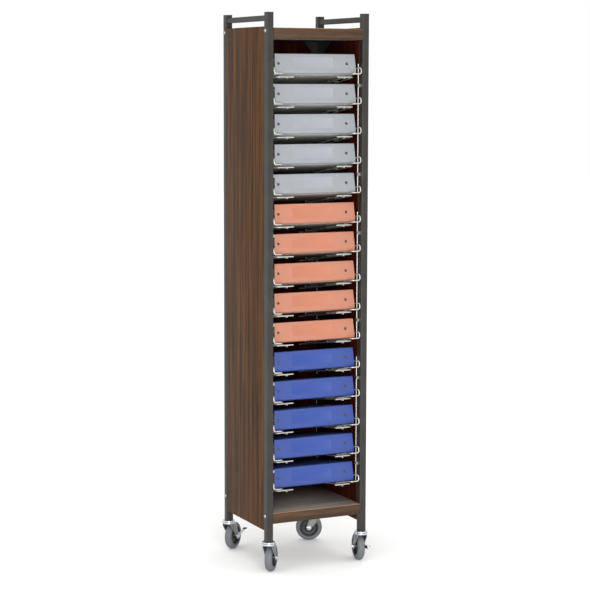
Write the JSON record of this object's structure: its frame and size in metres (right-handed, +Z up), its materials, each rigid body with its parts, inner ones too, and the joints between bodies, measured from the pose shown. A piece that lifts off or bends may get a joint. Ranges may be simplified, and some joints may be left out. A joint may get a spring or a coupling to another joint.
{
  "type": "medical chart rack",
  "caption": "Tall rolling rack of square tube with wood-look sides, sloping chrome wire trays that hold ring binders by their spines, and swivel casters.",
  "frame": {"origin": "on the floor, under the middle of the whole outline, casters included", "axes": "+Z up, -Y towards the person who faces the binder spines, +X to that person's right"},
  "size_m": [0.4338, 0.4456, 1.994],
  "materials": {
    "frame_tube": "satin",
    "cap_plastic": "matte",
    "side_laminate": "satin",
    "back_laminate": "satin",
    "board_laminate": "satin",
    "bolt_chrome": "polished",
    "gusset_steel": "satin",
    "chrome_wire": "polished",
    "clip_metal": "satin",
    "binder_grey": "semi-matte",
    "binder_salmon": "semi-matte",
    "binder_blue": "semi-matte",
    "caster_zinc": "bright",
    "hub_plastic": "matte",
    "tread_rubber": "matte",
    "pedal_steel": "bright"
  },
  "bodies": {
    "root": {"front_left_post": "frame_tube", "front_right_post": "frame_tube", "rear_left_post": "frame_tube", "rear_right_post": "frame_tube", "post_caps": "cap_plastic", "handle_rails": "frame_tube", "left_panel": "side_laminate", "right_panel": "side_laminate", "back_panel": "back_laminate", "top_board": "board_laminate", "base_board": "board_laminate", "board_bolts": "bolt_chrome", "top_gussets": "gusset_steel", "tray_01": "chrome_wire", "tray_02": "chrome_wire", "tray_03": "chrome_wire", "tray_04": "chrome_wire", "tray_05": "chrome_wire", "tray_06": "chrome_wire", "tray_07": "chrome_wire", "tray_08": "chrome_wire", "tray_09": "chrome_wire", "tray_10": "chrome_wire", "tray_11": "chrome_wire", "tray_12": "chrome_wire", "tray_13": "chrome_wire", "tray_14": "chrome_wire", "tray_15": "chrome_wire", "tray_rods": "chrome_wire", "rod_clips": "clip_metal", "caster_stems": "caster_zinc"},
    "binder_01": {"binder_01": "binder_grey"},
    "binder_02": {"binder_02": "binder_grey"},
    "binder_03": {"binder_03": "binder_grey"},
    "binder_04": {"binder_04": "binder_grey"},
    "binder_05": {"binder_05": "binder_grey"},
    "binder_06": {"binder_06": "binder_salmon"},
    "binder_07": {"binder_07": "binder_salmon"},
    "binder_08": {"binder_08": "binder_salmon"},
    "binder_09": {"binder_09": "binder_salmon"},
    "binder_10": {"binder_10": "binder_salmon"},
    "binder_11": {"binder_11": "binder_blue"},
    "binder_12": {"binder_12": "binder_blue"},
    "binder_13": {"binder_13": "binder_blue"},
    "binder_14": {"binder_14": "binder_blue"},
    "binder_15": {"binder_15": "binder_blue"},
    "front_left_fork": {"front_left_fork": "caster_zinc"},
    "front_left_wheel": {"front_left_hub": "hub_plastic", "front_left_tread": "tread_rubber"},
    "front_right_fork": {"front_right_fork": "caster_zinc"},
    "front_right_wheel": {"front_right_hub": "hub_plastic", "front_right_tread": "tread_rubber"},
    "rear_left_fork": {"rear_left_fork": "caster_zinc"},
    "rear_left_wheel": {"rear_left_hub": "hub_plastic", "rear_left_tread": "tread_rubber"},
    "rear_right_fork": {"rear_right_fork": "caster_zinc"},
    "rear_right_wheel": {"rear_right_hub": "hub_plastic", "rear_right_tread": "tread_rubber"},
    "rear_left_pedal": {"rear_left_pedal": "pedal_steel"},
    "front_right_pedal": {"front_right_pedal": "pedal_steel"}
  },
  "joints": [
    {"name": "binder_01_slide", "type": "slide", "parent": "root", "child": "binder_01", "axis": [0, -0.9877, 0.1564], "range_m": [0, 0.28]},
    {"name": "binder_02_slide", "type": "slide", "parent": "root", "child": "binder_02", "axis": [0, -0.9877, 0.1564], "range_m": [0, 0.28]},
    {"name": "binder_03_slide", "type": "slide", "parent": "root", "child": "binder_03", "axis": [0, -0.9877, 0.1564], "range_m": [0, 0.28]},
    {"name": "binder_04_slide", "type": "slide", "parent": "root", "child": "binder_04", "axis": [0, -0.9877, 0.1564], "range_m": [0, 0.28]},
    {"name": "binder_05_slide", "type": "slide", "parent": "root", "child": "binder_05", "axis": [0, -0.9877, 0.1564], "range_m": [0, 0.28]},
    {"name": "binder_06_slide", "type": "slide", "parent": "root", "child": "binder_06", "axis": [0, -0.9877, 0.1564], "range_m": [0, 0.28]},
    {"name": "binder_07_slide", "type": "slide", "parent": "root", "child": "binder_07", "axis": [0, -0.9877, 0.1564], "range_m": [0, 0.28]},
    {"name": "binder_08_slide", "type": "slide", "parent": "root", "child": "binder_08", "axis": [0, -0.9877, 0.1564], "range_m": [0, 0.28]},
    {"name": "binder_09_slide", "type": "slide", "parent": "root", "child": "binder_09", "axis": [0, -0.9877, 0.1564], "range_m": [0, 0.28]},
    {"name": "binder_10_slide", "type": "slide", "parent": "root", "child": "binder_10", "axis": [0, -0.9877, 0.1564], "range_m": [0, 0.28]},
    {"name": "binder_11_slide", "type": "slide", "parent": "root", "child": "binder_11", "axis": [0, -0.9877, 0.1564], "range_m": [0, 0.28]},
    {"name": "binder_12_slide", "type": "slide", "parent": "root", "child": "binder_12", "axis": [0, -0.9877, 0.1564], "range_m": [0, 0.28]},
    {"name": "binder_13_slide", "type": "slide", "parent": "root", "child": "binder_13", "axis": [0, -0.9877, 0.1564], "range_m": [0, 0.28]},
    {"name": "binder_14_slide", "type": "slide", "parent": "root", "child": "binder_14", "axis": [0, -0.9877, 0.1564], "range_m": [0, 0.28]},
    {"name": "binder_15_slide", "type": "slide", "parent": "root", "child": "binder_15", "axis": [0, -0.9877, 0.1564], "range_m": [0, 0.28]},
    {"name": "front_left_swivel", "type": "hinge", "parent": "root", "child": "front_left_fork", "pos_m": [-0.19243, -0.19414, 0.116], "axis": [0, 0, 1], "continuous": true},
    {"name": "front_left_wheel_spin", "type": "hinge", "parent": "front_left_fork", "child": "front_left_wheel", "pos_m": [-0.16993, -0.16733, 0.05], "axis": [-0.766, 0.6428, 0], "continuous": true},
    {"name": "front_right_swivel", "type": "hinge", "parent": "root", "child": "front_right_fork", "pos_m": [0.18217, -0.19414, 0.116], "axis": [0, 0, 1], "continuous": true},
    {"name": "front_right_wheel_spin", "type": "hinge", "parent": "front_right_fork", "child": "front_right_wheel", "pos_m": [0.18885, -0.15978, 0.05], "axis": [-0.9816, 0.1908, 0], "continuous": true},
    {"name": "front_right_brake", "type": "hinge", "parent": "front_right_fork", "child": "front_right_pedal", "pos_m": [0.18885, -0.15978, 0.05], "axis": [0.9816, -0.1908, 0], "range_deg": [0, 20]},
    {"name": "rear_left_swivel", "type": "hinge", "parent": "root", "child": "rear_left_fork", "pos_m": [-0.19243, 0.16146, 0.116], "axis": [0, 0, 1], "continuous": true},
    {"name": "rear_left_wheel_spin", "type": "hinge", "parent": "rear_left_fork", "child": "rear_left_wheel", "pos_m": [-0.16562, 0.18396, 0.05], "axis": [-0.6428, 0.766, 0], "continuous": true},
    {"name": "rear_left_brake", "type": "hinge", "parent": "rear_left_fork", "child": "rear_left_pedal", "pos_m": [-0.16562, 0.18396, 0.05], "axis": [-0.6428, 0.766, 0], "range_deg": [0, 20]},
    {"name": "rear_right_swivel", "type": "hinge", "parent": "root", "child": "rear_right_fork", "pos_m": [0.18217, 0.16146, 0.116], "axis": [0, 0, 1], "continuous": true},
    {"name": "rear_right_wheel_spin", "type": "hinge", "parent": "rear_right_fork", "child": "rear_right_wheel", "pos_m": [0.15045, 0.17625, 0.05], "axis": [-0.4226, -0.9063, 0], "continuous": true}
  ]
}
